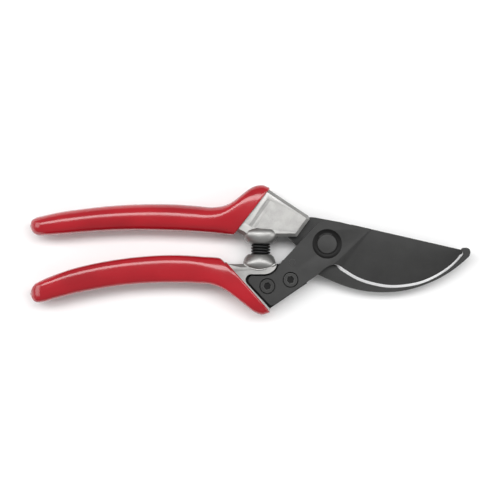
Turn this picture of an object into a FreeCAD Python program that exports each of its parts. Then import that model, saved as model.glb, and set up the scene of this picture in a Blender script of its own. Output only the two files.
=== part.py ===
"""Bypass pruner: two cast handles with dipped grips, a cutting blade and a hook that cross on a pivot bolt.

Frame: +X runs from the pivot to the blade's tip, +Y to the handle that carries the hook, and +Z out of the
blade's ground face. The origin is on the pivot's axis at the back of the nut, where the tool lies flat.
The blades are drawn closed. Lengths are millimetres.
"""

import FreeCAD
import Part
import Sketcher

import math
import os

from FreeCAD import Placement, Rotation, Vector

os.makedirs("parts", exist_ok=True)
doc = FreeCAD.newDocument("BypassPruner")
sheet = doc.addObject("Spreadsheet::Sheet", "Sizes")

SIZES = [
    # plates, from the back of the nut to the front of the grips
    ("grip_back", 0.0),
    ("grip_thickness", 15.0),
    ("grip_edge_radius", 4.0),
    ("handle_back", 2.0),
    ("handle_front", 13.0),
    ("handle_thickness", 11.0),
    ("handle_edge_bevel", 1.5),
    ("panel_height", 0.35),
    ("collar_groove_depth", 0.4),
    ("hook_back", 4.0),
    ("hook_front", 7.95),
    ("hook_thickness", 3.95),
    ("blade_back", 8.05),
    ("blade_front", 11.6),
    ("blade_thickness", 3.55),
    ("grind_depth", 0.35),
    ("edge_bevel", 0.5),
    # pivot
    ("bolt_radius", 3.5),
    ("pivot_bore_radius", 3.55),
    ("bolt_head_radius", 4.65),
    ("bolt_head_bottom", 9.9),
    ("bolt_head_height", 1.8),
    ("bolt_head_round", 0.35),
    ("counterbore_radius", 4.75),
    ("counterbore_floor", 9.85),
    ("dish_radius", 7.0),
    ("dish_depth", 0.8),
    ("washer_radius", 6.6),
    ("washer_bottom", 3.4),
    ("washer_thickness", 0.6),
    ("cone_washer_radius", 6.0),
    ("cone_washer_bottom", 2.6),
    ("cone_washer_taper", 1.0),
    ("nut_across_flats", 10.0),
    ("nut_height", 2.6),
    ("nut_face_inset", 0.1),
    ("nut_corner_reach", 1.6),
    # spring and its seats
    ("spring_line", -31.4),
    ("spring_radius", 4.6),
    ("spring_wire", 1.15),
    ("spring_bottom", -11.5),
    ("spring_length", 18.7),
    ("seat_depth_line", 7.5),
    ("upper_bore_radius", 4.85),
    ("lower_bore_radius", 5.1),
    # fasteners
    ("screw_head_radius", 3.25),
    ("screw_head_height", 1.6),
    ("screw_seat_radius", 3.8),
    ("screw_radius", 2.0),
    ("screw_hole_radius", 2.1),
    ("screw_thread_length", 5.4),
    ("socket_across_flats", 3.4),
    ("socket_depth", 1.1),
    ("socket_turn", 12.0),
    ("front_screw_seat", 9.7),
    ("back_screw_seat", 5.8),
    # catch
    ("catch_pin_radius", 1.5),
    ("catch_pin_head_radius", 2.6),
    ("catch_pin_head_back", 0.05),
    ("catch_pin_head_thickness", 0.3),
    ("catch_pin_proud", 0.15),
    ("catch_back", 0.4),
    ("catch_thickness", 1.4),
    ("catch_bore_radius", 1.56),
    ("catch_stud_radius", 1.3),
    ("catch_nut_clearance", 6.1),
    ("spacer_radius", 2.1),
    ("spacer_gap", 0.08),
    # how far the cutting tools run past what they cut
    ("overrun", 1.0),
]
for row, (alias, value) in enumerate(SIZES, start=1):
    sheet.set(f"A{row}", alias)
    sheet.set(f"B{row}", str(value))
    sheet.setAlias(f"B{row}", alias)
doc.recompute()
size = dict(SIZES)

# places on the plates
UPPER_SCREWS = [(-28.3, 19.3), (-17.6, 13.4)]
LOWER_SCREWS = [(-28.3, -20.0), (-17.3, -17.0)]
CATCH_PIN = (-16.5, -8.65)
CATCH_STUD = (-12.0, 5.0)
HANDLE_END_RADIUS = 20.8      # the lower handle ends clear of the catch pin's path round the pivot
STOP_RADIUS = 16.8            # the hook's edge between its two stops, inside the catch pin's path
OPENING = 30.0                # degrees from closed to the open stop


def polar(radius, degrees):
    """Point at this distance and direction from the pivot."""
    return (radius * math.cos(math.radians(degrees)), radius * math.sin(math.radians(degrees)))


def spot(point):
    return Vector(point[0], point[1], 0.0)


def new_body(label):
    body = doc.addObject("PartDesign::Body", label)
    body.Label = label
    return body


def origin_plane(body, role):
    return next(f for f in body.Origin.OriginFeatures if f.Role == role)


def plate_sketch(body, name, level=None):
    """Sketch parallel to the blades, at the height held by the sheet's cell."""
    sketch = body.newObject("Sketcher::SketchObject", name)
    sketch.AttachmentSupport = [(origin_plane(body, "XY_Plane"), "")]
    sketch.MapMode = "FlatFace"
    if level:
        sketch.setExpression("AttachmentOffset.Base.z", "Sizes." + level)
    return sketch


def draw(sketch, start, *steps):
    """Closed outline of lines, arcs (through a point, to an end) and smooth curves through points."""
    here = start
    for kind, *points in steps:
        if kind == "line":
            curve = Part.LineSegment(spot(here), spot(points[0]))
        elif kind == "arc":
            curve = Part.Arc(spot(here), spot(points[0]), spot(points[1]))
        else:
            curve = Part.BSplineCurve()
            curve.interpolate([spot(p) for p in [here] + points])
        sketch.addGeometry(curve, False)
        here = points[-1]
    if math.dist(here, start) > 1e-6:
        sketch.addGeometry(Part.LineSegment(spot(here), spot(start)), False)


def circle(sketch, centre, radius):
    """Circle whose radius follows a cell and whose centre is held where it is drawn."""
    index = sketch.addGeometry(Part.Circle(spot(centre), Vector(0, 0, 1), size[radius]), False)
    number = sketch.addConstraint(Sketcher.Constraint("Radius", index, size[radius]))
    sketch.setExpression(f"Constraints[{number}]", "Sizes." + radius)
    for direction, place in (("DistanceX", centre[0]), ("DistanceY", centre[1])):
        if abs(place) > 1e-9:
            sketch.addConstraint(Sketcher.Constraint(direction, -1, 1, index, 3, place))
    if abs(centre[0]) < 1e-9 and abs(centre[1]) < 1e-9:
        sketch.addConstraint(Sketcher.Constraint("Coincident", index, 3, -1, 1))


def pad(body, sketch, length):
    feature = body.newObject("PartDesign::Pad", sketch.Name + "_pad")
    feature.Profile = sketch
    feature.setExpression("Length", "Sizes." + length if length in size else length)
    doc.recompute()
    return feature


def pocket(body, sketch, length, upward=False):
    """Cuts down from the sketch, or up where the sketch lies on the back."""
    before = body.Shape.Volume
    feature = body.newObject("PartDesign::Pocket", sketch.Name + "_pocket")
    feature.Profile = sketch
    feature.Reversed = upward
    feature.setExpression("Length", "Sizes." + length if length in size else length)
    doc.recompute()
    if body.Shape.Volume > before - 0.01:
        raise RuntimeError(sketch.Name + " cuts nothing")
    return feature


def level_edges(shape, levels, keep=lambda middle: True):
    """Names of the edges that lie flat at one of these heights and whose middle passes the test."""
    names = []
    for number, edge in enumerate(shape.Edges, start=1):
        box = edge.BoundBox
        middle = edge.valueAt((edge.FirstParameter + edge.LastParameter) / 2)
        flat = any(abs(box.ZMin - z) < 1e-4 and abs(box.ZMax - z) < 1e-4 for z in levels)
        if flat and keep(middle):
            names.append(f"Edge{number}")
    return names


def dress(body, kind, edges, **cells):
    """Fillet or chamfer on named edges of the body as it stands, its size from a cell."""
    base = body.Tip
    feature = body.newObject("PartDesign::" + kind, body.Name + "_" + kind.lower())
    feature.Base = (base, edges)
    for key, cell in cells.items():
        feature.setExpression(key, "Sizes." + cell)
    doc.recompute()
    if "Invalid" in feature.State:
        raise RuntimeError(feature.Name + " failed")
    return feature


def turned_feature(body, kind, name, role, offset, profile):
    """Revolution or Groove of a profile about the vertical axis of its own sketch."""
    before = body.Shape.Volume
    sketch = body.newObject("Sketcher::SketchObject", name)
    sketch.AttachmentSupport = [(origin_plane(body, role), "")]
    sketch.MapMode = "FlatFace"
    for axis, cell in offset.items():
        sketch.setExpression("AttachmentOffset.Base." + axis, cell)
    draw(sketch, profile[0], *[("line", p) if len(p) == 2 else ("arc", p[0:2], p[2:4]) for p in profile[1:]])
    feature = body.newObject("PartDesign::" + kind, name + "_turned")
    feature.Profile = sketch
    feature.ReferenceAxis = (sketch, ["V_Axis"])
    feature.Angle = 360
    doc.recompute()
    change = body.Shape.Volume - before
    if (kind == "Groove" and change > -0.01) or (kind == "Revolution" and change < 0.01):
        raise RuntimeError(name + " changes nothing")
    return feature


# ---------------------------------------------------------------------------------------------------------
# handles: cast, with a bevelled edge, a seat for the spring and a recess for the tang


def handle_blank(label, start, outline, bevelled=None):
    """Plate with a bevel along the edges that the test picks."""
    body = new_body(label)
    sketch = plate_sketch(body, label + "_outline", "handle_back")
    draw(sketch, start, *outline)
    pad(body, sketch, "handle_thickness")
    levels = (size["handle_back"], size["handle_front"])
    if bevelled:
        dress(body, "Chamfer", level_edges(body.Shape, levels, bevelled), Size="handle_edge_bevel")
    return body


def spring_seat(body, name, centre_x, profile, bore, bore_from, bore_depth):
    """Domed boss turned about the spring's line, bored from its open end."""
    offset = {"x": centre_x, "z": "Sizes.seat_depth_line"}
    turned_feature(body, "Revolution", name + "_dome", "XY_Plane", offset, profile)
    bore_radius = size[bore]
    bore_profile = [
        (0.0, bore_from), (bore_radius, bore_from), (bore_radius, bore_depth), (0.0, bore_depth),
    ]
    turned_feature(body, "Groove", name + "_bore", "XY_Plane", offset, bore_profile)


UPPER_HANDLE = [
    ("line", (-25.6, 24.3)),
    ("curve", (-31.3, 26.3), (-38.0, 22.9), (-45.9, 17.3), (-53.5, 15.7), (-62.0, 16.3), (-80.9, 17.1),
     (-99.9, 16.4), (-122.7, 13.9), (-133.2, 12.0)),
    ("arc", (-136.6, 8.6), (-133.0, 5.9)),
    ("curve", (-122.7, 6.5), (-107.5, 7.7), (-92.3, 8.3), (-77.1, 8.05), (-61.9, 7.35), (-50.5, 6.5),
     (-43.2, 6.2)),
    ("curve", (-40.9, 5.0), (-38.4, 3.6)),
    ("line", (-14.4, 3.4)),
    ("line", (-8.3, 11.7)),
]
LOWER_HANDLE = [
    ("line", (-21.8, -9.1)),
    ("line", (-20.9, -7.6)),
    ("line", polar(HANDLE_END_RADIUS, 203.5)),
    ("arc", polar(HANDLE_END_RADIUS, 224.0), polar(HANDLE_END_RADIUS, 243.3)),
    ("line", (-26.8, -30.5)),
    ("arc", (-28.6, -31.9), (-31.0, -32.0)),
    ("curve", (-33.2, -30.9), (-37.1, -28.1), (-41.4, -24.6), (-45.6, -21.3), (-53.9, -17.7),
     (-61.9, -16.9), (-73.3, -16.75), (-88.6, -17.2), (-104.0, -18.9), (-119.3, -21.7), (-132.0, -24.9)),
    ("arc", (-135.6, -23.4), (-134.0, -19.6)),
    ("curve", (-118.4, -13.1), (-103.4, -9.8), (-88.4, -7.85), (-73.3, -7.1), (-58.3, -7.8), (-50.6, -8.9)),
    ("line", (-47.5, -9.6)),
]

upper_handle = handle_blank("upper_handle", (-8.9, 13.25), UPPER_HANDLE, lambda middle: True)
UPPER_DOME = [
    (0.0, 0.2), (5.2, 0.2), (6.3, 1.5, 7.1, 3.2), (7.2, 4.9, 6.5, 6.3), (5.6, 7.3), (4.0, 8.2), (0.0, 8.8),
]
spring_seat(upper_handle, "upper_seat", "Sizes.spring_line", UPPER_DOME, "upper_bore_radius", -1.0, 7.3)

recess = plate_sketch(upper_handle, "hook_recess", "handle_back")
draw(
    recess, (-5.0, -3.0),
    ("line", (-5.0, 14.6)),
    ("line", (-9.0, 12.3)),
    ("line", (-26.4, 23.8)),
    ("arc", (-28.4, 24.3), (-30.1, 23.1)),
    ("line", (-36.9, 16.6)),
    ("arc", (-37.5, 14.2), (-35.4, 12.9)),
    ("line", (-28.6, 12.9)),
    ("arc", (-25.6, 12.2), (-23.2, 10.0)),
    ("line", (-19.2, 2.6)),
    ("line", (-14.0, -3.0)),
)
pocket(upper_handle, recess, "Sizes.hook_front - Sizes.handle_back", upward=True)
holes = plate_sketch(upper_handle, "hook_screw_holes", "hook_front")
for place in UPPER_SCREWS:
    circle(holes, place, "screw_radius")
thread_below_hook = "Sizes.screw_thread_length - Sizes.hook_front + Sizes.back_screw_seat"
pocket(upper_handle, holes, thread_below_hook, upward=True)

# a raised panel, and a groove across the collar that the grip ends against
panel = plate_sketch(upper_handle, "panel_outline", "handle_front")
draw(
    panel, (-26.4, 18.0),
    ("line", (-12.4, 12.2)),
    ("line", (-11.6, 10.9)),
    ("line", (-14.9, 5.9)),
    ("line", (-34.0, 7.5)),
)
pad(upper_handle, panel, "panel_height")
groove = plate_sketch(upper_handle, "collar_groove", "handle_front")
draw(groove, (-26.9, 20.4), ("line", (-28.2, 21.3)), ("line", (-37.1, 8.8)), ("line", (-35.8, 7.9)))
pocket(upper_handle, groove, "collar_groove_depth")

lower_handle = handle_blank(
    "lower_handle", (-22.6, -9.5), LOWER_HANDLE, lambda m: -46.0 < m.x < -23.0 and m.y > -10.0,
)
LOWER_DOME = [
    (0.0, -5.0), (5.3, -5.0), (6.7, -6.3, 7.2, -8.2), (7.0, -9.9, 6.1, -11.2), (5.5, -12.0), (0.0, -12.8),
]
LOWER_SEAT_SHIFT = 0.45
spring_seat(
    lower_handle, "lower_seat", f"Sizes.spring_line - {LOWER_SEAT_SHIFT}", LOWER_DOME, "lower_bore_radius",
    -4.0, -11.6,
)

recess = plate_sketch(lower_handle, "blade_recess", "grip_thickness")
draw(
    recess, (-36.4, -14.3),
    ("line", (-29.8, -14.3)),
    ("arc", (-26.9, -13.6), (-24.5, -11.6)),
    ("line", (-22.4, -6.5)),
    ("line", (-5.0, -2.0)),
    ("line", (-5.0, -36.0)),
    ("line", (-21.0, -36.0)),
    ("line", (-27.4, -30.2)),
    ("line", (-37.9, -18.8)),
    ("arc", (-38.5, -16.2), (-36.4, -14.3)),
)
pocket(lower_handle, recess, "Sizes.grip_thickness - Sizes.blade_back")
holes = plate_sketch(lower_handle, "blade_screw_holes", "blade_back")
for place in LOWER_SCREWS:
    circle(holes, place, "screw_radius")
pocket(lower_handle, holes, "Sizes.screw_thread_length - Sizes.front_screw_seat + Sizes.blade_back")


# ---------------------------------------------------------------------------------------------------------
# grips: dipped skins with a rounded section, cut to the handles inside them


def grip(label, start, outline, handle, mouth):
    """Rounded outer shape less the handle; the mouth is left clear in front of the grip's lip."""
    body = new_body(label + "_outside")
    sketch = plate_sketch(body, label + "_outline", "grip_back")
    draw(sketch, start, *outline)
    pad(body, sketch, "grip_thickness")
    levels = (size["grip_back"], size["grip_back"] + size["grip_thickness"])
    dress(body, "Fillet", level_edges(body.Shape, levels, mouth), Radius="grip_edge_radius")
    cut = doc.addObject("Part::Cut", label)
    cut.Label = label
    cut.Base = body
    cut.Tool = handle
    doc.recompute()
    return cut


UPPER_GRIP = [
    ("line", (-41.9, 8.3)),
    ("arc", (-43.4, 6.2), (-44.6, 4.05)),
    ("curve", (-50.5, 4.66), (-61.9, 5.55), (-77.1, 6.2), (-92.3, 6.42), (-107.5, 5.85), (-122.7, 4.64),
     (-131.7, 3.95), (-136.6, 3.8)),
    ("arc", (-140.75, 7.6), (-137.6, 12.65)),
    ("curve", (-122.7, 15.75), (-99.9, 18.25), (-80.9, 18.95), (-62.0, 18.15), (-53.5, 17.5),
     (-46.3, 19.2), (-39.1, 24.45), (-34.6, 27.45)),
    ("arc", (-31.2, 28.1), (-28.0, 27.0)),
]
LOWER_GRIP = [
    ("curve", (-54.0, -6.3), (-65.7, -5.4), (-77.0, -5.3), (-88.5, -6.0), (-103.7, -8.0), (-118.9, -11.3),
     (-131.7, -15.7), (-137.6, -18.35)),
    ("arc", (-140.5, -23.6), (-135.9, -27.9)),
    ("curve", (-126.5, -25.4), (-111.3, -22.0), (-96.1, -19.7), (-80.9, -18.65), (-65.7, -18.6),
     (-54.3, -19.5), (-46.7, -22.9), (-38.2, -29.6), (-33.8, -32.7)),
    ("arc", (-31.2, -33.9), (-28.4, -32.8)),
    ("line", (-28.3, -30.2)),
    ("line", (-42.5, -15.4)),
    ("line", (-46.9, -10.5)),
]


def long_edges(front):
    """Edges along the grip, not those round its mouth."""
    return lambda middle: middle.x < front


upper_grip = grip("upper_grip", (-28.0, 25.0), UPPER_GRIP, upper_handle, long_edges(-45.0))
lower_grip = grip("lower_grip", (-50.2, -6.6), LOWER_GRIP, lower_handle, long_edges(-51.0))


# ---------------------------------------------------------------------------------------------------------
# cutting blade: its tang lies in the lower handle's recess, its back slides on the hook

cutting_blade = new_body("cutting_blade")
outline = plate_sketch(cutting_blade, "blade_outline", "blade_back")
draw(
    outline, (-34.4, -15.2),
    ("line", (-29.5, -15.2)),
    ("arc", (-26.5, -14.4), (-23.9, -12.3)),
    ("line", (-22.7, -9.9)),
    ("line", (-6.6, 7.6)),
    ("arc", (-2.2, 10.3), (3.8, 10.1)),
    ("curve", (7.4, 9.5), (12.0, 9.05)),
    ("line", (62.6, -2.55)),
    ("arc", (64.9, -3.3), (64.6, -5.0)),
    ("curve", (59.7, -10.43), (52.1, -15.66), (44.5, -18.99), (36.9, -20.5), (29.3, -20.78),
     (21.7, -19.5), (14.1, -16.94), (5.6, -11.6)),
    ("arc", (4.6, -10.1), (3.0, -9.6)),
    ("arc", (-0.7, -11.3), (-4.2, -14.4)),
    ("line", (-25.0, -28.75)),
    ("arc", (-26.4, -29.1), (-27.6, -28.4)),
    ("line", (-36.6, -18.7)),
    ("arc", (-37.1, -16.4), (-34.4, -15.2)),
)
pad(cutting_blade, outline, "blade_thickness")


def on_cutting_edge(middle):
    return middle.x > 10.0 and middle.y < -6.0


front_edge = level_edges(cutting_blade.Shape, (size["blade_front"],), on_cutting_edge)
dress(cutting_blade, "Chamfer", front_edge, Size="edge_bevel")

grind = plate_sketch(cutting_blade, "hollow_grind", "blade_front")
draw(
    grind, (3.2, -9.5),
    ("line", (15.6, 2.1)),
    ("arc", (18.6, 4.4), (22.6, 5.2)),
    ("line", (68.0, -4.9)),
    ("line", (68.0, -26.0)),
    ("line", (4.0, -26.0)),
)
pocket(cutting_blade, grind, "grind_depth")

bore = plate_sketch(cutting_blade, "blade_bore", "blade_front")
circle(bore, (0.0, 0.0), "pivot_bore_radius")
pocket(cutting_blade, bore, "blade_thickness")
seat = plate_sketch(cutting_blade, "bolt_head_seat", "blade_front")
circle(seat, (0.0, 0.0), "counterbore_radius")
pocket(cutting_blade, seat, "Sizes.blade_front - Sizes.counterbore_floor")

DISH_TOP = size["blade_front"]
DISH = [
    (size["counterbore_radius"] - 0.5, DISH_TOP + 0.3),
    (size["counterbore_radius"] - 0.5, DISH_TOP - size["dish_depth"]),
    (size["counterbore_radius"], DISH_TOP - size["dish_depth"]),
    (size["counterbore_radius"] + 1.2, DISH_TOP - 0.78 * size["dish_depth"], size["dish_radius"], DISH_TOP),
    (size["dish_radius"], DISH_TOP + 0.3),
]
turned_feature(cutting_blade, "Groove", "pivot_dish", "XZ_Plane", {}, DISH)

seats = plate_sketch(cutting_blade, "screw_seats", "blade_front")
holes = plate_sketch(cutting_blade, "screw_holes", "blade_front")
for place in LOWER_SCREWS:
    circle(seats, place, "screw_seat_radius")
    circle(holes, place, "screw_hole_radius")
pocket(cutting_blade, seats, "Sizes.blade_front - Sizes.front_screw_seat")
pocket(cutting_blade, holes, "blade_thickness")
rivet = plate_sketch(cutting_blade, "catch_pin_hole", "blade_front")
circle(rivet, CATCH_PIN, "catch_pin_radius")
pocket(cutting_blade, rivet, "blade_thickness")


# ---------------------------------------------------------------------------------------------------------
# hook: its tang lies in the upper handle's recess, and its edge carries the two stops for the catch pin

PIN_HALF_ANGLE = math.degrees(math.asin(size["catch_pin_radius"] / math.hypot(*CATCH_PIN)))
PIN_DIRECTION = 180.0 + math.degrees(math.atan2(-CATCH_PIN[1], -CATCH_PIN[0]))
CLOSED_STOP = PIN_DIRECTION - PIN_HALF_ANGLE - 0.15
OPEN_STOP = PIN_DIRECTION + PIN_HALF_ANGLE + OPENING + 0.15

hook_blade = new_body("hook_blade")
outline = plate_sketch(hook_blade, "hook_outline", "hook_back")
draw(
    outline, (-34.4, 13.8),
    ("line", (-28.6, 13.8)),
    ("arc", (-24.9, 12.9), (-22.3, 10.2)),
    ("line", (-18.6, 3.6)),
    ("line", (-14.3, -1.0)),
    ("line", (-18.4, -5.4)),
    ("line", polar(19.2, CLOSED_STOP)),
    ("line", polar(STOP_RADIUS, CLOSED_STOP)),
    ("arc", polar(STOP_RADIUS, 225.0), polar(STOP_RADIUS, OPEN_STOP)),
    ("line", polar(18.3, OPEN_STOP)),
    ("line", (-6.9, -15.6)),
    ("line", (-4.2, -14.5)),
    ("curve", (2.7, -17.7), (10.3, -20.6), (17.9, -22.35), (25.5, -22.98), (33.1, -22.7), (40.7, -21.3),
     (48.3, -18.7), (55.9, -15.0), (63.5, -9.67), (67.0, -6.6)),
    ("arc", (68.2, -4.6), (67.9, -2.5)),
    ("arc", (66.4, -1.8), (64.6, -2.1)),
    ("curve", (61.5, -5.9), (55.9, -10.4), (48.3, -14.1), (40.7, -16.3), (33.0, -17.2), (25.5, -16.7),
     (17.9, -14.2), (12.4, -9.5)),
    ("line", polar(12.2, -25.0)),
    ("arc", polar(12.35, 12.0), (12.1, 8.95)),
    ("line", (6.5, 10.35)),
    ("line", (-5.6, 12.6)),
    ("line", (-7.6, 12.75)),
    ("line", (-10.4, 12.1)),
    ("line", (-26.6, 22.9)),
    ("arc", (-28.1, 23.0), (-29.2, 22.0)),
    ("line", (-34.6, 16.5)),
    ("arc", (-35.5, 14.8), (-34.4, 13.8)),
)
pad(hook_blade, outline, "hook_thickness")

bore = plate_sketch(hook_blade, "hook_bore", "hook_front")
circle(bore, (0.0, 0.0), "pivot_bore_radius")
pocket(hook_blade, bore, "hook_thickness")
seats = plate_sketch(hook_blade, "hook_screw_seats", "hook_back")
holes = plate_sketch(hook_blade, "hook_tang_holes", "hook_back")
for place in UPPER_SCREWS:
    circle(seats, place, "screw_seat_radius")
    circle(holes, place, "screw_hole_radius")
pocket(hook_blade, seats, "Sizes.back_screw_seat - Sizes.hook_back", upward=True)
pocket(hook_blade, holes, "hook_thickness", upward=True)


# ---------------------------------------------------------------------------------------------------------
# small turned parts and fasteners


def cylinder(name, radius, bottom, height, place=(0.0, 0.0)):
    """Upright cylinder whose radius, bottom and height follow expressions on the sheet."""
    shape = doc.addObject("Part::Cylinder", name)
    shape.setExpression("Radius", radius)
    shape.setExpression("Height", height)
    shape.Placement = Placement(Vector(place[0], place[1], 0.0), Rotation())
    shape.setExpression("Placement.Base.z", bottom)
    return shape


def drill(name, radius, bottom, height, place=(0.0, 0.0)):
    """Tool for a round hole through a piece with this bottom and height."""
    return cylinder(name, radius, f"{bottom} - Sizes.overrun", f"{height} + 2 * Sizes.overrun", place)


def hexagon(name, across_flats, bottom, height, place=(0.0, 0.0), turn=0.0):
    prism = doc.addObject("Part::Prism", name)
    prism.Polygon = 6
    prism.setExpression("Circumradius", across_flats + " / 2 / cos(30)")
    prism.setExpression("Height", height)
    prism.Placement = Placement(Vector(place[0], place[1], 0.0), Rotation(Vector(0, 0, 1), turn))
    prism.setExpression("Placement.Base.z", bottom)
    return prism


def join(label, *pieces):
    fuse = doc.addObject("Part::MultiFuse", label)
    fuse.Label = label
    fuse.Shapes = list(pieces)
    return fuse


def subtract(label, base, tool):
    cut = doc.addObject("Part::Cut", label)
    cut.Label = label
    cut.Base = base
    cut.Tool = tool
    return cut


def soften(label, base, radius, keep):
    """Fillet on the circular edges that pass the test."""
    doc.recompute()
    feature = doc.addObject("Part::Fillet", label)
    feature.Label = label
    feature.Base = base
    feature.Edges = [(n, radius, radius) for n, e in enumerate(base.Shape.Edges, start=1) if keep(e)]
    return feature


def socket_screw(name, place, seat, direction):
    """Screw with its head on the seat; direction is 1 where the head faces the front, -1 the back."""
    head_bottom = seat if direction > 0 else f"{seat} - Sizes.screw_head_height"
    thread_bottom = f"{seat} - Sizes.screw_thread_length" if direction > 0 else seat
    socket_bottom = (
        f"{seat} + Sizes.screw_head_height - Sizes.socket_depth" if direction > 0
        else f"{seat} - Sizes.screw_head_height - Sizes.overrun"
    )
    head = cylinder(name + "_head", "Sizes.screw_head_radius", head_bottom, "Sizes.screw_head_height", place)
    thread = cylinder(
        name + "_thread", "Sizes.screw_radius", thread_bottom, "Sizes.screw_thread_length", place,
    )
    socket = hexagon(
        name + "_socket", "Sizes.socket_across_flats", socket_bottom, "Sizes.socket_depth + Sizes.overrun",
        place, size["socket_turn"],
    )
    return subtract(name, join(name + "_blank", head, thread), socket)


def screw_pair(label, places, seat, direction):
    pair = doc.addObject("Part::Compound", label)
    pair.Label = label
    pair.Links = [socket_screw(f"{label}_{n}", p, seat, direction) for n, p in enumerate(places, start=1)]
    return pair


blade_screws = screw_pair("blade_screws", LOWER_SCREWS, "Sizes.front_screw_seat", 1)
hook_screws = screw_pair("hook_screws", UPPER_SCREWS, "Sizes.back_screw_seat", -1)

shank = cylinder(
    "bolt_shank", "Sizes.bolt_radius", "0", "Sizes.bolt_head_bottom + Sizes.bolt_head_height / 2",
)
head = cylinder("bolt_head", "Sizes.bolt_head_radius", "Sizes.bolt_head_bottom", "Sizes.bolt_head_height")
HEAD_TOP = size["bolt_head_bottom"] + size["bolt_head_height"]
pivot_bolt = soften(
    "pivot_bolt", join("bolt_blank", shank, head), size["bolt_head_round"],
    lambda e: e.BoundBox.ZMin > HEAD_TOP - 1e-4 and e.Closed,
)

pivot_washer = subtract(
    "pivot_washer",
    cylinder("washer_disc", "Sizes.washer_radius", "Sizes.washer_bottom", "Sizes.washer_thickness"),
    drill("washer_hole", "Sizes.bolt_radius", "Sizes.washer_bottom", "Sizes.washer_thickness"),
)

cone = doc.addObject("Part::Cone", "cone_washer_disc")
cone.setExpression("Radius1", "Sizes.cone_washer_radius - Sizes.cone_washer_taper")
cone.setExpression("Radius2", "Sizes.cone_washer_radius")
cone_height = "Sizes.washer_bottom - Sizes.cone_washer_bottom"
cone.setExpression("Height", cone_height)
cone.setExpression("Placement.Base.z", "Sizes.cone_washer_bottom")
tension_washer = subtract(
    "tension_washer", cone,
    drill("cone_washer_hole", "Sizes.bolt_radius", "Sizes.cone_washer_bottom", cone_height),
)

nut_corners = doc.addObject("Part::Cone", "nut_corners")
nut_corners.setExpression("Radius1", "Sizes.nut_across_flats / 2 - Sizes.nut_face_inset")
nut_corners.setExpression("Radius2", "Sizes.nut_across_flats / 2 + Sizes.nut_corner_reach")
nut_corners.setExpression("Height", "Sizes.nut_height")
nut_blank = doc.addObject("Part::Common", "nut_blank")
nut_blank.Base = hexagon("nut_prism", "Sizes.nut_across_flats", "0", "Sizes.nut_height")
nut_blank.Tool = nut_corners
pivot_nut = subtract("pivot_nut", nut_blank, drill("nut_hole", "Sizes.bolt_radius", "0", "Sizes.nut_height"))

# catch pin: riveted in the blade, with a flat head behind the lever
inside_head = "Sizes.catch_pin_head_back + Sizes.catch_pin_head_thickness / 2"
pin_shank = cylinder(
    "pin_shank", "Sizes.catch_pin_radius", inside_head,
    f"Sizes.blade_front + Sizes.catch_pin_proud - ({inside_head})", CATCH_PIN,
)
pin_head = cylinder(
    "pin_head", "Sizes.catch_pin_head_radius", "Sizes.catch_pin_head_back", "Sizes.catch_pin_head_thickness",
    CATCH_PIN,
)
catch_pin = join("catch_pin", pin_shank, pin_head)

spacer_back = "Sizes.catch_back + Sizes.catch_thickness + Sizes.spacer_gap"
spacer_length = "Sizes.hook_back - Sizes.catch_back - Sizes.catch_thickness - 2 * Sizes.spacer_gap"
catch_spacer = subtract(
    "catch_spacer",
    cylinder("spacer_tube", "Sizes.spacer_radius", spacer_back, spacer_length, CATCH_PIN),
    drill("spacer_hole", "Sizes.catch_pin_radius", spacer_back, spacer_length, CATCH_PIN),
)

catch_stud = cylinder(
    "catch_stud", "Sizes.catch_stud_radius", "Sizes.catch_back", "Sizes.hook_back - Sizes.catch_back",
    CATCH_STUD,
)
catch_stud.Label = "catch_stud"

# main spring: the tube that its turns fill, from the bottom of one seat to the bottom of the other
SPRING_TURN = Rotation(Vector(1, 0, 0), -90)


def spring_tube(name, radius):
    tube = doc.addObject("Part::Cylinder", name)
    tube.setExpression("Radius", radius)
    tube.setExpression("Height", "Sizes.spring_length")
    tube.Placement = Placement(Vector(), SPRING_TURN)
    tube.setExpression("Placement.Base.x", "Sizes.spring_line")
    tube.setExpression("Placement.Base.y", "Sizes.spring_bottom")
    tube.setExpression("Placement.Base.z", "Sizes.seat_depth_line")
    return tube


main_spring = subtract(
    "main_spring",
    spring_tube("spring_outside", "Sizes.spring_radius"),
    spring_tube("spring_inside", "Sizes.spring_radius - Sizes.spring_wire"),
)

# ---------------------------------------------------------------------------------------------------------
# catch lever, drawn released: its notch takes the stud when the lever turns by the catch's travel

CATCH_TRAVEL = 15.0


def released(point):
    """Where a point of the locked lever lies once the lever is turned back off the stud."""
    turn = math.radians(-CATCH_TRAVEL)
    dx, dy = point[0] - CATCH_PIN[0], point[1] - CATCH_PIN[1]
    return (CATCH_PIN[0] + dx * math.cos(turn) - dy * math.sin(turn),
            CATCH_PIN[1] + dx * math.sin(turn) + dy * math.cos(turn))


LEVER = [
    ("arc", (-15.2, -5.6), (-13.9, -3.4)),
    ("line", (-11.8, 3.2)),
    ("arc", (-10.4, 4.8), (-11.9, 6.6)),
    ("line", (-12.95, 6.82)),
    ("arc", (-13.35, 7.25), (-12.95, 7.65)),
    ("arc", (-9.8, 7.75), (-8.4, 4.9)),
    ("line", (-10.4, -3.0)),
    ("arc", (-12.2, -7.0), (-13.6, -10.2)),
    ("line", (-15.4, -18.4)),
    ("arc", (-18.2, -20.7), (-21.0, -18.6)),
    ("line", (-19.8, -9.4)),
]
catch_lever = new_body("catch_lever")
outline = plate_sketch(catch_lever, "lever_outline", "catch_back")
draw(outline, released((-18.4, -6.0)), *[(kind, *[released(p) for p in points]) for kind, *points in LEVER])
pad(catch_lever, outline, "catch_thickness")
bore = plate_sketch(catch_lever, "lever_bore", "catch_back")
circle(bore, CATCH_PIN, "catch_bore_radius")
pocket(catch_lever, bore, "catch_thickness", upward=True)
nut_side = plate_sketch(catch_lever, "lever_nut_side", "catch_back")
circle(nut_side, (0.0, 0.0), "catch_nut_clearance")
pocket(catch_lever, nut_side, "catch_thickness", upward=True)

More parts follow.
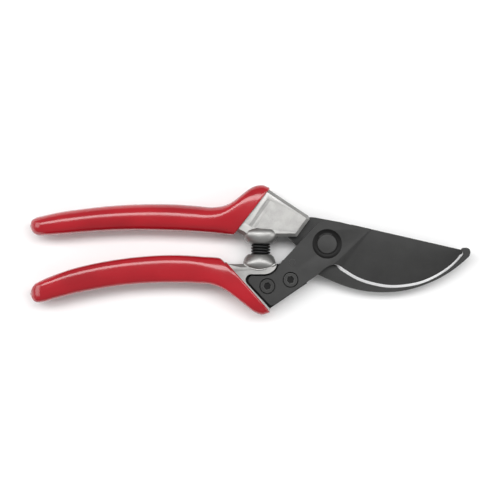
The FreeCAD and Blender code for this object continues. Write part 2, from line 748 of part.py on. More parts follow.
# ---------------------------------------------------------------------------------------------------------

NODES = [
    upper_handle, lower_handle, upper_grip, lower_grip, cutting_blade, hook_blade, blade_screws, hook_screws,
    pivot_bolt, pivot_washer, tension_washer, pivot_nut, catch_pin, catch_spacer, catch_stud, main_spring,
    catch_lever,
]

doc.recompute()
for item in doc.Objects:
    if {"Invalid", "Error"} & set(item.State):
        raise RuntimeError(f"{item.Name} failed: {item.State}")
for node in NODES:
    shape = node.Shape
    if shape.isNull() or not shape.isValid() or not shape.Solids:
        raise RuntimeError(f"{node.Label} has no valid solid")
    print(f"{node.Label:16} {len(shape.Solids)} solid(s) {shape.Volume / 1000:8.3f} cm3")
for node in NODES:
    node.Shape.exportStep(f"parts/{node.Label}.step")
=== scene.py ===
"""Looks of the bypass pruner: dipped grips, cast handles, coated blades, spring, screws and catch."""

import math

import bmesh
import bpy
import numpy as np
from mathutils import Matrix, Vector


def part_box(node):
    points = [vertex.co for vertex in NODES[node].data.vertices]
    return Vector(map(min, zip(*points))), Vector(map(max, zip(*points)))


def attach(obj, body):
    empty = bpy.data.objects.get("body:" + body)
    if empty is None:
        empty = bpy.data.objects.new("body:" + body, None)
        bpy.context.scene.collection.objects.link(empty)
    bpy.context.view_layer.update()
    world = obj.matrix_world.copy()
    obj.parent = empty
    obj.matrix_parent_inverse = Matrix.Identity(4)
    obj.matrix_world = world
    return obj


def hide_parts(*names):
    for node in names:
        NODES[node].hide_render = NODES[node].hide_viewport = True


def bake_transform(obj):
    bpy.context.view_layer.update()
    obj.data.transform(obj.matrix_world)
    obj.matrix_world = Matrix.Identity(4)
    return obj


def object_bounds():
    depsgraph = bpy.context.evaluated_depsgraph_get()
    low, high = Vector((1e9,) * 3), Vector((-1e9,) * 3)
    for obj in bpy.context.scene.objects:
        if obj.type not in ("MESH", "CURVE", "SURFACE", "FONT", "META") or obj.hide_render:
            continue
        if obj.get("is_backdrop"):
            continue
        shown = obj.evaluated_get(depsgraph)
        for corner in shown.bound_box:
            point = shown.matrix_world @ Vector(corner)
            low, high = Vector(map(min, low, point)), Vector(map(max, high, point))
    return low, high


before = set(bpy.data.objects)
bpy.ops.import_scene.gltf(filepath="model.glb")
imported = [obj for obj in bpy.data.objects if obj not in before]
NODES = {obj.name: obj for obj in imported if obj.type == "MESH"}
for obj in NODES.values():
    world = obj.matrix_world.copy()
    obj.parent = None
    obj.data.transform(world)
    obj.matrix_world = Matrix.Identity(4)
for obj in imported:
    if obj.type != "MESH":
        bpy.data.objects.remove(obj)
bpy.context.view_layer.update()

bl_info = {
    "name": "Bypass pruner",
    "version": (1, 0, 0),
    "blender": (4, 5, 0),
    "location": "3D View > Sidebar > Pruner",
    "description": "Builds the visible pieces of a bypass pruner round its packed solids",
    "category": "Object",
}

MM = 0.001


# ---------------------------------------------------------------------------------------------------------
# settings


class GripSettings(bpy.types.PropertyGroup):
    """Colour and section of the two dipped grips"""
    colour: bpy.props.FloatVectorProperty(
        name="Grip colour", description="Colour of the dipped grips", subtype="COLOR", size=3,
        default=(0.365, 0.0068, 0.0145), min=0, max=1,
    )
    lip: bpy.props.FloatProperty(
        name="Lip", description="Radius of the rolled edge at the grip's mouth", default=0.75 * MM,
        unit="LENGTH", subtype="DISTANCE",
    )
    upper_squareness: bpy.props.FloatProperty(
        name="Upper squareness", description="2 is an oval section, more is squarer", default=2.5, min=2,
        max=6,
    )
    lower_squareness: bpy.props.FloatProperty(
        name="Lower squareness", description="2 is an oval section, more is squarer", default=4.2, min=2,
        max=6,
    )
    mouth_squareness: bpy.props.FloatProperty(
        name="Mouth squareness", description="Squareness of the section at the mouth", default=4.4, min=2,
        max=8,
    )


class MetalSettings(bpy.types.PropertyGroup):
    """Colours and edges of the handles and blades"""
    casting: bpy.props.FloatVectorProperty(
        name="Casting colour", description="Colour of the cast handles", subtype="COLOR", size=3,
        default=(0.392, 0.388, 0.378), min=0, max=1,
    )
    coating: bpy.props.FloatVectorProperty(
        name="Coating colour", description="Colour of the blades' coating", subtype="COLOR", size=3,
        default=(0.0235, 0.0235, 0.023), min=0, max=1,
    )
    ground_width: bpy.props.FloatProperty(
        name="Ground edge", description="Width of the bright ground edge", default=1.35 * MM,
        unit="LENGTH", subtype="DISTANCE",
    )
    edge_round: bpy.props.FloatProperty(
        name="Edge rounding", description="Rounding of machined edges", default=0.3 * MM, unit="LENGTH",
        subtype="DISTANCE",
    )


class SpringSettings(bpy.types.PropertyGroup):
    """Winding of the main spring"""
    turns: bpy.props.FloatProperty(
        name="Turns", description="Turns of the main spring", default=13.0, min=3, max=40,
    )
    wire: bpy.props.FloatProperty(
        name="Wire", description="Diameter of the spring's wire", default=1.12 * MM, unit="LENGTH",
        subtype="DISTANCE",
    )


def settings():
    """The scene's grip, metal and spring settings."""
    return bpy.context.scene.pruner_grip, bpy.context.scene.pruner_metal, bpy.context.scene.pruner_spring


# ---------------------------------------------------------------------------------------------------------
# shader nodes


class Level:
    """A number in a shader. Sums and products of levels add the Math nodes that work them out."""

    def __init__(self, shader, socket):
        self.shader, self.socket = shader, socket

    def _math(self, operation, first, second):
        node = self.shader.node("ShaderNodeMath", {"operation": operation}, {0: first, 1: second})
        return Level(self.shader, node.outputs[0])

    def __add__(self, other):
        return self._math("ADD", self, other)

    def __radd__(self, other):
        return self._math("ADD", other, self)

    def __sub__(self, other):
        return self._math("SUBTRACT", self, other)

    def __rsub__(self, other):
        return self._math("SUBTRACT", other, self)

    def __mul__(self, other):
        return self._math("MULTIPLY", self, other)

    def __rmul__(self, other):
        return self._math("MULTIPLY", other, self)

    def band(self, low, high):
        """0 below low, 1 above high, smooth between."""
        node = self.shader.node(
            "ShaderNodeMapRange", {"interpolation_type": "SMOOTHSTEP"},
            {"Value": self, "From Min": low, "From Max": high},
        )
        return Level(self.shader, node.outputs["Result"])


class Shader:
    """A material under construction."""

    def __init__(self, name):
        self.material = bpy.data.materials.new(name)
        self.material.use_nodes = True
        self.tree = self.material.node_tree
        self.tree.nodes.clear()
        self.place = self.node("ShaderNodeTexCoord").outputs["Object"]

    def node(self, kind, options=None, sockets=None):
        """Node of this type with its options, then the values or links of its sockets."""
        node = self.tree.nodes.new(kind)
        for key, value in (options or {}).items():
            setattr(node, key, value)
        for key, value in (sockets or {}).items():
            if isinstance(value, Level):
                value = value.socket
            if isinstance(value, bpy.types.NodeSocket):
                self.tree.links.new(value, node.inputs[key])
            else:
                node.inputs[key].default_value = value
        return node

    def noise(self, size, detail=3.0, roughness=0.55, stretch=(1, 1, 1), distortion=0.0):
        """Noise whose spots are about this size, in metres, stretched along the axes."""
        mapping = self.node(
            "ShaderNodeMapping", None,
            {"Vector": self.place, "Scale": [1.0 / (size * s) for s in stretch]},
        )
        node = self.node(
            "ShaderNodeTexNoise", None,
            {"Vector": mapping.outputs[0], "Scale": 1.0, "Detail": detail, "Roughness": roughness,
             "Distortion": distortion},
        )
        return Level(self, node.outputs["Fac"])

    def cells(self, size):
        """Distance from the middles of scattered cells of this size, in metres."""
        mapping = self.node("ShaderNodeMapping", None, {"Vector": self.place, "Scale": [1.0 / size] * 3})
        node = self.node("ShaderNodeTexVoronoi", None, {"Vector": mapping.outputs[0], "Scale": 1.0})
        return Level(self, node.outputs["Distance"])

    def mix(self, factor, first, second):
        """Colour between two colours."""
        node = self.node(
            "ShaderNodeMix", {"data_type": "RGBA"},
            {0: factor, 6: self.colour(first), 7: self.colour(second)},
        )
        return node.outputs[2]

    @staticmethod
    def colour(value):
        return value if isinstance(value, bpy.types.NodeSocket) else (*tuple(value)[:3], 1.0)

    def finish(self, colour, roughness, height=None, depth=0.0, plain=None, **varying):
        """Finished surface; plain values are the same all over, varying ones may be links."""
        sockets = {"Base Color": self.colour(colour), "Roughness": roughness}
        sockets.update({key.replace("_", " ").title(): value for key, value in varying.items()})
        if height is not None:
            bump = self.node("ShaderNodeBump", None, {"Strength": 1.0, "Distance": depth, "Height": height})
            sockets["Normal"] = bump.outputs["Normal"]
        surface = self.node("ShaderNodeBsdfPrincipled", None, sockets)
        for key, value in (plain or {}).items():
            surface.inputs[key].default_value = value
        self.node("ShaderNodeOutputMaterial", None, {"Surface": surface.outputs[0]})
        return self.material


def shade(colour, amount):
    """The colour made darker or lighter by this factor."""
    return [min(1.0, c * amount) for c in colour]


def dipped_plastic(colour):
    """Glossy dipped skin: slow runs of the dip, fine orange peel, small dull scuffs."""
    s = Shader("dipped_red")
    runs = s.noise(14 * MM, 2.0, 0.5, (2.4, 1, 1))
    peel = s.noise(1.1 * MM, 3.0, 0.6)
    specks = s.noise(0.35 * MM, 2.0, 0.6)
    scuffs = s.noise(5.0 * MM, 4.0, 0.6, (1.7, 0.7, 1)).band(0.58, 0.85)
    base = s.mix(runs.band(0.3, 0.7), shade(colour, 0.86), shade(colour, 1.1))
    base = s.mix(specks.band(0.55, 0.8) * 0.22, base, shade(colour, 0.7))
    base = s.mix(scuffs * 0.05, base, (0.62, 0.16, 0.16))
    roughness = 0.14 + runs * 0.04 + scuffs * 0.12 + specks * 0.03
    height = runs * 0.55 + peel * 0.1 + specks * 0.035
    return s.finish(
        base, roughness, height, 0.26 * MM, {"Coat Roughness": 0.08, "IOR": 1.48},
        coat_weight=0.36 - scuffs * 0.2,
    )


def cast_metal(name, colour, worn=False):
    """Satin cast metal: grain from the mould, pores, faint handling marks."""
    s = Shader(name)
    cloud = s.noise(6 * MM, 4.0, 0.6)
    grain = s.noise(0.42 * MM, 4.0, 0.7)
    pores = s.cells(0.9 * MM).band(0.02, 0.2)
    marks = s.noise(2.2 * MM, 5.0, 0.72, (0.5, 1.8, 1)).band(0.6, 0.74)
    base = s.mix(cloud.band(0.32, 0.68), shade(colour, 0.88), shade(colour, 1.06))
    base = s.mix(grain.band(0.45, 0.75) * 0.3, base, shade(colour, 0.72))
    base = s.mix((1.0 - pores) * 0.45, base, shade(colour, 0.45))
    base = s.mix(marks * 0.25, base, shade(colour, 1.25))
    roughness = (0.2 if worn else 0.36) + grain * 0.14 + cloud * 0.05 - marks * 0.08
    height = grain * (0.25 if worn else 0.6) + pores * 0.35 + cloud * 0.3
    return s.finish(base, roughness, height, 0.05 * MM, {"Metallic": 0.95})


def blade_coating(name, colour, lift=1.0, gloss=0.45):
    """Dark satin non-stick coating: even fine grain with lengthwise rub marks."""
    s = Shader(name)
    grain = s.noise(0.22 * MM, 3.0, 0.65)
    cloud = s.noise(11 * MM, 3.0, 0.55)
    rubs = s.noise(0.55 * MM, 4.0, 0.65, (16, 1, 1), 0.3).band(0.58, 0.8)
    nicks = s.cells(2.6 * MM).band(0.0, 0.06)
    tone = shade(colour, lift)
    base = s.mix(cloud.band(0.3, 0.7), shade(tone, 0.86), shade(tone, 1.14))
    base = s.mix(grain.band(0.5, 0.78) * 0.35, base, shade(tone, 1.9))
    base = s.mix(rubs * 0.18, base, shade(tone, 2.6))
    base = s.mix((1.0 - nicks) * 0.3, base, shade(tone, 3.2))
    roughness = 0.4 + grain * 0.12 + cloud * 0.06 - rubs * 0.07
    height = grain * 0.5 + rubs * 0.25
    return s.finish(base, roughness, height, 0.022 * MM, {"Metallic": 0.15, "Specular IOR Level": gloss})


def ground_steel_painted_highlight():
    """Bright edge as it leaves the stone: fine cross scratches on a near-white, barely metallic base, partly
    the steel's own brightness and partly a painted highlight.
    """
    s = Shader("ground_steel_painted_highlight")
    scratches = s.noise(0.16 * MM, 3.0, 0.7, (1, 7, 1))
    cloud = s.noise(4 * MM)
    base = s.mix(scratches, (0.84, 0.84, 0.85), (0.97, 0.97, 0.97))
    base = s.mix(cloud.band(0.4, 0.7) * 0.2, base, (0.76, 0.77, 0.79))
    return s.finish(base, 0.24 + scratches * 0.2, scratches, 0.02 * MM, {"Metallic": 0.25})


def turned_steel(name, colour, metallic=0.5, roughness=0.34):
    """Small steel parts: fine turning lines, oily bloom and rubbed high spots."""
    s = Shader(name)
    lines = s.noise(0.18 * MM, 3.0, 0.6, (1, 1, 5))
    bloom = s.noise(2.6 * MM, 3.0, 0.6)
    rubbed = s.noise(0.8 * MM, 4.0, 0.7).band(0.6, 0.8)
    base = s.mix(bloom.band(0.3, 0.7), shade(colour, 0.78), shade(colour, 1.25))
    base = s.mix(rubbed * 0.3, base, shade(colour, 2.1))
    level = roughness + bloom * 0.12 + lines * 0.06 - rubbed * 0.06
    return s.finish(base, level, lines * 0.6 + bloom * 0.2, 0.016 * MM, {"Metallic": metallic})


MATERIALS = {}


def material(name):
    """Makes each finish once, when a piece first asks for it."""
    if name not in MATERIALS:
        grip, metal, _ = settings()
        makers = {
            "red_grip": lambda: dipped_plastic(grip.colour),
            "casting": lambda: cast_metal("cast_aluminium", metal.casting),
            "casting_edge": lambda: cast_metal("cast_aluminium_edge", shade(metal.casting, 1.18), True),
            "coating": lambda: blade_coating("blade_coating", metal.coating),
            # the edge copy of the coating, 2.7 times lighter, is a painted highlight along the rounded edges
            "coating_edge_highlight": lambda: blade_coating("blade_coating_edge", metal.coating, 2.7),
            # the dish copy of the coating, much darker, is painted shade in the dish round the bolt and in
            # the screws' sockets
            "dish": lambda: blade_coating("dish_painted_shade_coating", metal.coating, 0.3, 0.2),
            # the seats' copy of the casting is a little darker, a painted shade
            "dome": lambda: cast_metal("cast_aluminium_dome_painted_shade", shade(metal.casting, 0.95)),
            # the groove's copy of the casting is darker, a painted shade in the groove
            "groove": lambda: cast_metal("cast_aluminium_groove_painted_shade", shade(metal.casting, 0.74)),
            # the recess's copy of the casting is almost black, a painted shadow in the gap round the tang
            "recess": lambda: cast_metal("cast_aluminium_recess_painted_shadow", shade(metal.casting, 0.06)),
            "hollow": lambda: blade_coating("hollow_ground_coating", metal.coating, 0.93),
            "ground": ground_steel_painted_highlight,
            "steel": lambda: turned_steel("plain_steel", (0.5, 0.5, 0.51), 0.9, 0.28),
            "spring": lambda: turned_steel("spring_steel", (0.018, 0.018, 0.018), 0.6, 0.27),
        }
        MATERIALS[name] = makers[name]()
    return MATERIALS[name]


# ---------------------------------------------------------------------------------------------------------
# meshes

SHARP_ANGLE, FLAT_ANGLE = 28, 0.6      # degrees from which an edge is sharp, and under which faces merge
JOIN_DISTANCE = 0.002 * MM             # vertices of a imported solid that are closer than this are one


def add_object(name, mesh, replaces, finishes):
    """Piece with its finishes, in place of the solid that it stands for, if there is one."""
    for finish in finishes:
        mesh.materials.append(material(finish))
    piece = bpy.data.objects.new(name, mesh)
    bpy.context.scene.collection.objects.link(piece)
    if replaces:
        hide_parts(replaces)
    return piece


def smooth_path(points, count):
    """This many points on a smooth curve through the given ones, as many between each pair."""
    p = np.array(points, float)
    h = np.maximum(np.linalg.norm(np.diff(p, axis=0), axis=1), 1e-9)
    slopes = np.diff(p, axis=0) / h[:, None]
    tangents = np.empty_like(p)
    tangents[0], tangents[-1] = slopes[0], slopes[-1]
    tangents[1:-1] = (slopes[:-1] * h[1:, None] + slopes[1:] * h[:-1, None]) / (h[1:] + h[:-1])[:, None]
    out = []
    for u in np.linspace(0, len(p) - 1, count):
        i = min(int(u), len(p) - 2)
        t = u - i
        a = (2 * t**3 - 3 * t**2 + 1) * p[i] + (t**3 - 2 * t**2 + t) * h[i] * tangents[i]
        b = (3 * t**2 - 2 * t**3) * p[i + 1] + (t**3 - t**2) * h[i] * tangents[i + 1]
        out.append(a + b)
    return np.array(out)


def even_path(points, count):
    """Points at equal steps along the smooth curve."""
    fine = smooth_path(points, 40 * len(points))
    run = np.concatenate([[0], np.cumsum(np.linalg.norm(np.diff(fine, axis=0), axis=1))])
    steps = np.linspace(0, run[-1], count)
    return np.stack([np.interp(steps, run, fine[:, k]) for k in range(fine.shape[1])], axis=1)


def loft(name, loops, band_materials=None):
    """Closed mesh through loops of equal length; band_materials holds the finish of each strip."""
    count = len(loops[0])
    mesh = bpy.data.meshes.new(name)
    bm = bmesh.new()
    rows = [[bm.verts.new(Vector(p) * MM) for p in loop] for loop in loops]
    for low, high in zip(rows, rows[1:]):
        for j in range(count):
            k = (j + 1) % count
            face = bm.faces.new((low[j], low[k], high[k], high[j]))
            face.material_index = band_materials[j] if band_materials else 0
    bm.faces.new(rows[0][::-1])
    bm.faces.new(rows[-1])
    bmesh.ops.remove_doubles(bm, verts=bm.verts, dist=1e-7)
    bmesh.ops.recalc_face_normals(bm, faces=bm.faces)
    bm.to_mesh(mesh)
    bm.free()
    return mesh


def smooth_faces(mesh, degrees):
    """Smooth shading, with the edges that turn by more than this left sharp."""
    mesh.shade_smooth()
    mesh.set_sharp_from_angle(angle=math.radians(degrees))
    return mesh


def baked(piece):
    """The piece's mesh with its modifiers worked in, and no modifiers left."""
    graph = bpy.context.evaluated_depsgraph_get()
    mesh = bpy.data.meshes.new_from_object(
        piece.evaluated_get(graph), preserve_all_data_layers=True, depsgraph=graph,
    )
    piece.modifiers.clear()
    piece.data = mesh
    return piece


def round_edges(piece, width):
    """Small rounded edges, which take the piece's second finish."""
    bevel = piece.modifiers.new("edges", "BEVEL")
    bevel.width = width
    bevel.segments = 2
    bevel.limit_method = "ANGLE"
    bevel.angle_limit = math.radians(SHARP_ANGLE)
    bevel.use_clamp_overlap = True
    bevel.harden_normals = True
    bevel.material = 1
    bevel.miter_outer = "MITER_ARC"
    return baked(piece)


def solid_mesh(node, name, reshape=None, paint=None):
    """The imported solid's mesh with its loose triangles joined and its flat faces merged.

    reshape may cut the mesh, and paint gives a face's finish from its middle in millimetres and its normal.
    """
    mesh = NODES[node].data.copy()
    mesh.name = name
    mesh.materials.clear()
    bm = bmesh.new()
    bm.from_mesh(mesh)
    bmesh.ops.remove_doubles(bm, verts=bm.verts, dist=JOIN_DISTANCE)
    if reshape:
        reshape(bm)
    bmesh.ops.dissolve_limit(
        bm, angle_limit=math.radians(FLAT_ANGLE), verts=bm.verts, edges=bm.edges,
        use_dissolve_boundaries=False,
    )
    for face in bm.faces:
        face.material_index = paint(face.calc_center_median() / MM, face.normal) if paint else 0
        face.smooth = True
    bm.to_mesh(mesh)
    bm.free()
    mesh.set_sharp_from_angle(angle=math.radians(SHARP_ANGLE))
    return mesh


def dressed_solid(node, name, slot, finishes, width, body, **options):
    """A carried-over solid with rounded edges and its own finish."""
    piece = add_object(name, solid_mesh(node, name, **options), node, finishes)
    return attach(round_edges(piece, width), body)


def prism(name, outline, low, high):
    """Upright prism on an outline in millimetres."""
    mesh = bpy.data.meshes.new(name)
    bm = bmesh.new()
    rows = [[bm.verts.new(Vector((x, y, z)) * MM) for x, y in outline] for z in (low, high)]
    count = len(outline)
    for j in range(count):
        k = (j + 1) % count
        bm.faces.new((rows[0][j], rows[0][k], rows[1][k], rows[1][j]))
    bm.faces.new(rows[0][::-1])
    bm.faces.new(rows[1])
    bmesh.ops.recalc_face_normals(bm, faces=bm.faces)
    bm.to_mesh(mesh)
    bm.free()
    return mesh


# ---------------------------------------------------------------------------------------------------------
# node trees


def new_tree(name, sockets):
    """Node tree with these inputs, a finish and a geometry output."""
    tree = bpy.data.node_groups.new(name, "GeometryNodeTree")
    for label, kind, value in sockets:
        tree.interface.new_socket(label, in_out="INPUT", socket_type=kind).default_value = value
    tree.interface.new_socket("Finish", in_out="INPUT", socket_type="NodeSocketMaterial")
    tree.interface.new_socket("Geometry", in_out="OUTPUT", socket_type="NodeSocketGeometry")
    return tree, tree.nodes.new("NodeGroupInput"), tree.nodes.new("NodeGroupOutput")


def end_tree(tree, inputs, outputs, path, profile):
    """Sweeps the profile along the path, then makes it real and gives it the finish."""
    add, link = tree.nodes.new, tree.links.new
    sweep, real = add("GeometryNodeCurveToMesh"), add("GeometryNodeRealizeInstances")
    paint = add("GeometryNodeSetMaterial")
    sweep.inputs["Fill Caps"].default_value = True
    link(path, sweep.inputs["Curve"])
    link(profile, sweep.inputs["Profile Curve"])
    link(sweep.outputs["Mesh"], real.inputs["Geometry"])
    link(real.outputs["Geometry"], paint.inputs["Geometry"])
    link(inputs.outputs["Finish"], paint.inputs["Material"])
    link(paint.outputs["Geometry"], outputs.inputs["Geometry"])


def with_nodes(name, tree, values):
    """Object whose mesh is the tree's result with these inputs."""
    piece = bpy.data.objects.new(name, bpy.data.meshes.new(name))
    bpy.context.scene.collection.objects.link(piece)
    modifier = piece.modifiers.new("nodes", "NODES")
    modifier.node_group = tree
    for item in tree.interface.items_tree:
        if item.item_type == "SOCKET" and item.in_out == "INPUT" and item.name in values:
            modifier[item.identifier] = values[item.name]
    return baked(piece)


# ---------------------------------------------------------------------------------------------------------
# grips: sections between an outer and an inner rail, from the mouth back to the end

UPPER_RAILS = [
    ((-27.5, 26.85), (-45.1, 4.3)), ((-30.6, 27.95), (-47.2, 4.35)), ((-34.6, 27.3), (-49.6, 4.55)),
    ((-39.1, 24.45), (-52.0, 4.8)), ((-43.0, 21.3), (-54.6, 5.0)), ((-47.6, 18.6), (-57.8, 5.2)),
    ((-53.5, 17.5), (-61.8, 5.5)), ((-62.0, 18.1), (-67.6, 5.85)), ((-72.0, 18.8), (-75.0, 6.15)),
    ((-82.5, 18.95), (-84.0, 6.38)), ((-93.5, 18.65), (-94.0, 6.4)), ((-105.0, 17.85), (-105.0, 6.0)),
    ((-117.0, 16.5), (-116.5, 5.15)), ((-127.5, 14.95), (-126.7, 4.3)), ((-134.4, 13.4), (-133.3, 3.9)),
    ((-138.0, 12.45), (-137.2, 4.05)), ((-140.1, 11.1), (-139.6, 5.4)), ((-140.7, 9.1), (-140.6, 7.6)),
]
LOWER_RAILS = [
    ((-48.5, -8.75), (-27.35, -32.7)), ((-50.4, -6.85), (-30.5, -33.65)), ((-53.2, -6.3), (-34.0, -32.6)),
    ((-55.8, -6.1), (-38.2, -29.5)), ((-58.6, -5.95), (-42.5, -26.1)), ((-62.0, -5.7), (-47.2, -22.6)),
    ((-67.2, -5.35), (-53.6, -19.7)), ((-74.0, -5.22), (-62.5, -18.75)), ((-82.0, -5.5), (-73.0, -18.55)),
    ((-91.0, -6.25), (-84.0, -18.8)), ((-101.0, -7.55), (-96.0, -19.7)), ((-111.3, -9.45), (-108.0, -21.45)),
    ((-121.5, -12.0), (-119.5, -23.7)), ((-130.0, -15.0), (-128.8, -26.1)),
    ((-135.4, -17.3), (-134.6, -27.6)), ((-138.4, -19.0), (-137.8, -27.7)),
    ((-140.0, -21.1), (-139.7, -26.2)), ((-140.55, -23.2), (-140.5, -24.3)),
]
SECTION_POINTS, STATIONS, LIP_STEPS = 56, 150, 12
GRIP_CLEARANCE = 0.04                # the grip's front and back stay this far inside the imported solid's
END_LENGTH, END_FULLNESS = 11.0, 3.2    # length over which the end rounds off, and how late it does
MOUTH_FADE = 0.09                    # share of the length over which the mouth's section fades out
INNER_INSET, INNER_REACH = 2.05, -3.5   # where the skin's inside ends: in lip radii, and behind the mouth


def section(outer, inner, half_thick, squareness, centre_z):
    """Superellipse across the grip between its two rails."""
    outer, inner = np.array(outer), np.array(inner)
    middle, half = (outer + inner) / 2, (outer - inner) / 2
    loop = []
    for k in range(SECTION_POINTS):
        turn = 2 * math.pi * k / SECTION_POINTS
        c, s = math.cos(turn), math.sin(turn)
        across = math.copysign(abs(c) ** (2 / squareness), c)
        up = math.copysign(abs(s) ** (2 / squareness), s)
        loop.append((*(middle + half * across), centre_z + half_thick * up))
    return loop


def grip_mesh(name, rails, half_thick, centre_z, body_squareness):
    """Skin with a rounded end and a lip that rolls inwards at the mouth."""
    grip, _, _ = settings()
    pairs = smooth_path([(*a, *b) for a, b in rails], STATIONS)
    end_x = min(pairs[:, 0].min(), pairs[:, 2].min())
    loops = []
    for t, (ax, ay, bx, by) in zip(np.linspace(0, 1, STATIONS), pairs):
        toward_end = max(0.0, 1 - ((ax + bx) / 2 - end_x) / END_LENGTH)
        thick = half_thick * max(0.05, 1 - toward_end**END_FULLNESS) ** 0.5
        mouth_share = math.exp(-t / MOUTH_FADE)
        squareness = body_squareness + (grip.mouth_squareness - body_squareness) * mouth_share
        loops.append(section((ax, ay), (bx, by), thick, squareness, centre_z))
    outer, inner = np.array(rails[0][0], float), np.array(rails[0][1], float)
    along = (outer - inner) / np.linalg.norm(outer - inner)
    back = np.array(rails[3][0]) + np.array(rails[3][1]) - outer - inner
    ahead = np.array([along[1], -along[0]])
    ahead *= -math.copysign(1.0, float(ahead @ back))
    lip = grip.lip / MM
    rolled = []
    for step in range(1, LIP_STEPS + 1):
        turn = math.pi * step / LIP_STEPS
        rolled.append((lip * (1 - math.cos(turn)), lip * math.sin(turn)))
    rolled.append((INNER_INSET * lip, INNER_REACH))
    for inset, reach in rolled:
        loops.insert(0, section(
            outer - along * inset + ahead * reach, inner + along * inset + ahead * reach,
            half_thick - inset, grip.mouth_squareness, centre_z,
        ))
    return smooth_faces(loft(name, loops), 50)


class PRUNER_OT_grips(bpy.types.Operator):
    """Dipped grips with an oval section, a flared front and a rolled lip"""
    bl_idname = "pruner.grips"
    bl_label = "Grips"

    def execute(self, context):
        grip, _, _ = settings()
        for name, node, body, rails, squareness in (
            ("upper_dipped_grip", "upper_grip", "hook_half", UPPER_RAILS, grip.upper_squareness),
            ("lower_dipped_grip", "lower_grip", "blade_half", LOWER_RAILS, grip.lower_squareness),
        ):
            low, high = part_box(node)
            half = (high.z - low.z) / 2 / MM
            middle = (high.z + low.z) / 2 / MM
            mesh = grip_mesh(name, rails, half - GRIP_CLEARANCE, middle, squareness)
            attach(add_object(name, mesh, node, ["red_grip"]), body)
        return {"FINISHED"}


# ---------------------------------------------------------------------------------------------------------
# handles

CAST_ROUND, RIM_RADIUS = 0.32, 0.42
TANG_RECESS = (-39.0, -8.0, -36.5, -6.0)      # west, east, south and north of the lower handle's recess, which is painted in shadow
RECESS_FLOOR, HANDLE_FACE = 8.0, 12.9
SEAT_CORNER = (-26.5, -14.0)                  # the spring's seat lies to the west and north of it
# the band of painted shade along the groove: its ends, half width, margin past the ends, and heights
GROOVE_ENDS = ((-27.55, 20.85), (-36.45, 8.35))
GROOVE_HALF_WIDTH, GROOVE_MARGIN = 1.0, 0.8
GROOVE_FLOOR, GROOVE_TOP = 12.4, 12.97

# spring seats: Y, half width, half height and squareness of each section, from the mouth inwards
SEAT_LINE, SEAT_BORE = 7.5, 4.9
BORE_DEPTH, BORE_LIP, BORE_CHAMFER, SEAT_STATIONS = 3.0, 0.3, 0.15, 48
UPPER_SEAT = [
    (0.17, 5.35, 5.3, 2.0), (0.55, 6.15, 5.95, 2.0), (1.15, 6.9, 6.5, 2.1), (1.95, 7.5, 6.95, 2.2),
    (2.9, 7.95, 7.2, 2.4), (4.0, 8.2, 7.3, 2.7), (5.1, 8.15, 7.2, 2.9), (5.9, 7.85, 6.9, 3.0),
    (6.5, 7.35, 6.5, 3.0), (7.0, 6.6, 6.1, 2.8), (7.35, 5.7, 5.7, 2.6), (7.6, 4.5, 5.3, 2.4),
]
LOWER_SEAT = [
    (-4.94, 5.4, 5.4, 2.0), (-5.35, 5.95, 6.0, 2.0), (-6.1, 6.65, 6.6, 2.1), (-7.1, 7.2, 7.05, 2.3),
    (-8.3, 7.6, 7.32, 2.6), (-9.4, 7.7, 7.3, 2.8), (-10.3, 7.3, 7.05, 2.8), (-11.0, 6.5, 6.6, 2.7),
    (-11.6, 5.3, 6.1, 2.6), (-12.1, 3.5, 5.4, 2.4),
]
UPPER_SEAT_X, LOWER_SEAT_X = -31.3, -32.0
SEAT_RIM = [(-39.3, -9.5, 11.75), (-32.0, -12.15, 12.95), (-24.8, -9.5, 11.75)]


def seat_mesh(name, centre_x, stations):
    """Domed boss with an open bore at its mouth."""
    mouth = stations[0][0]
    inward = math.copysign(1.0, stations[-1][0] - mouth)
    bore = [(mouth + inward * depth, SEAT_BORE, SEAT_BORE, 2.0) for depth in (BORE_DEPTH, BORE_LIP)]
    lip = [(mouth, SEAT_BORE + BORE_CHAMFER, SEAT_BORE + BORE_CHAMFER, 2.0)]
    loops = [
        section((centre_x - half, y), (centre_x + half, y), tall, squareness, SEAT_LINE)
        for y, half, tall, squareness in bore + lip + smooth_path(stations, SEAT_STATIONS).tolist()
    ]
    return smooth_faces(loft(name, loops), 55)


def bead_nodes():
    """Node tree of a round bead along an arc through three points."""
    tree, inputs, outputs = new_tree("Bead on an arc", (
        ("Start", "NodeSocketVector", (0, 0, 0)), ("Middle", "NodeSocketVector", (0, 0, 0)),
        ("End", "NodeSocketVector", (0, 0, 0)), ("Bead Radius", "NodeSocketFloat", 0.4 * MM),
    ))
    add, link = tree.nodes.new, tree.links.new
    arc, circle = add("GeometryNodeCurveArc"), add("GeometryNodeCurvePrimitiveCircle")
    arc.mode = "POINTS"
    arc.inputs["Resolution"].default_value = 48
    circle.inputs["Resolution"].default_value = 16
    for name in ("Start", "Middle", "End"):
        link(inputs.outputs[name], arc.inputs[name])
    link(inputs.outputs["Bead Radius"], circle.inputs["Radius"])
    end_tree(tree, inputs, outputs, arc.outputs["Curve"], circle.outputs["Curve"])
    return tree


def in_recess(middle, normal):
    """Finish of the lower handle: 2, a painted shadow, in the recess under the tang, 0 elsewhere."""
    west, east, south, north = TANG_RECESS
    inside = west < middle.x < east and south < middle.y < north and RECESS_FLOOR < middle.z < HANDLE_FACE
    seat = middle.x < SEAT_CORNER[0] and middle.y > SEAT_CORNER[1]
    wall, floor = abs(normal.z) < 0.3, normal.z > 0.9
    return 2 if inside and not seat and (wall or floor) else 0


